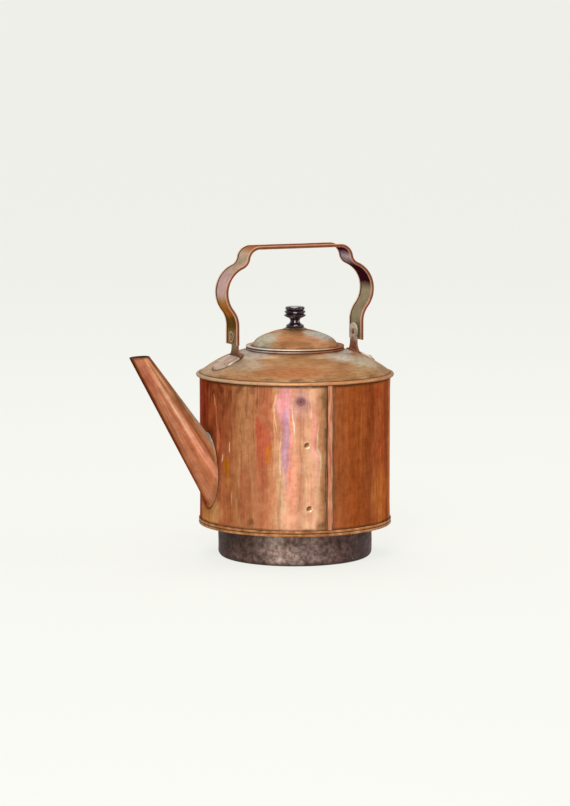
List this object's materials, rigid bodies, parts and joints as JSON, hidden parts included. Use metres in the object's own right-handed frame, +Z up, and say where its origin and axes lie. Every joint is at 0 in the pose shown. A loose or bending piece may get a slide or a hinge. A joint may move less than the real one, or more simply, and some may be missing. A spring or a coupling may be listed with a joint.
{
  "type": "stove kettle",
  "caption": "Copper stove kettle: drum body on a stepped pit bottom, domed breast, straight tapered spout, lift-off lid with turned knob, and a strap bail that swings on riveted ears.",
  "frame": {"origin": "centre of the pit pan's underside, where the kettle stands", "axes": "+Z up along the body's axis, the spout points along -X, the bail swings about an axis parallel to X"},
  "size_m": [0.3192, 0.2282, 0.3598],
  "materials": {
    "copper_drum": "aged sheet copper, streaked",
    "copper_breast": "dull sheet copper with grey-green patina",
    "copper_spout": "aged sheet copper, burnished along its length",
    "copper_bail": "aged sheet copper with bright hems",
    "sooted_copper": "blackened by soot",
    "cast_brass": "dull cast brass",
    "copper_rivet": "hammered copper",
    "iron_wire": "drawn iron wire",
    "ebonised_wood": "turned, stained black and polished",
    "knob_brass": "turned brass"
  },
  "bodies": {
    "kettle": {"body_drum": "copper_drum", "side_seam_strip": "copper_drum", "bottom_plate": "copper_drum", "breast": "copper_breast", "neck_collar": "copper_breast", "spout": "copper_spout", "pit_pan": "sooted_copper", "ear_front": "cast_brass", "ear_rear": "cast_brass", "ear_rivets_front": "copper_rivet", "ear_rivets_rear": "copper_rivet", "ear_rivet_burrs": "copper_rivet", "pivot_rivet_front": "copper_rivet", "pivot_rivet_rear": "copper_rivet", "pivot_spacers": "copper_rivet", "pivot_cap_washers": "copper_rivet", "top_rim_wire": "iron_wire", "neck_rim_wire": "iron_wire"},
    "bail": {"bail_strap": "copper_bail", "bail_wire_left": "iron_wire", "bail_wire_right": "iron_wire"},
    "lid": {"lid_cover": "copper_breast", "lid_rim_wire": "iron_wire", "lid_sleeve": "copper_breast", "knob_rosette": "knob_brass", "knob": "ebonised_wood", "knob_washer": "knob_brass", "knob_screw": "knob_brass"}
  },
  "joints": [
    {"name": "bail_swing", "type": "hinge", "parent": "kettle", "child": "bail", "pos_m": [0, 0, 0.25693], "axis": [1, 0, 0], "range_deg": [-100, 100]},
    {"name": "lid_lift", "type": "slide", "parent": "kettle", "child": "lid", "axis": [0, 0, 1], "range_m": [0, 0.06]}
  ]
}
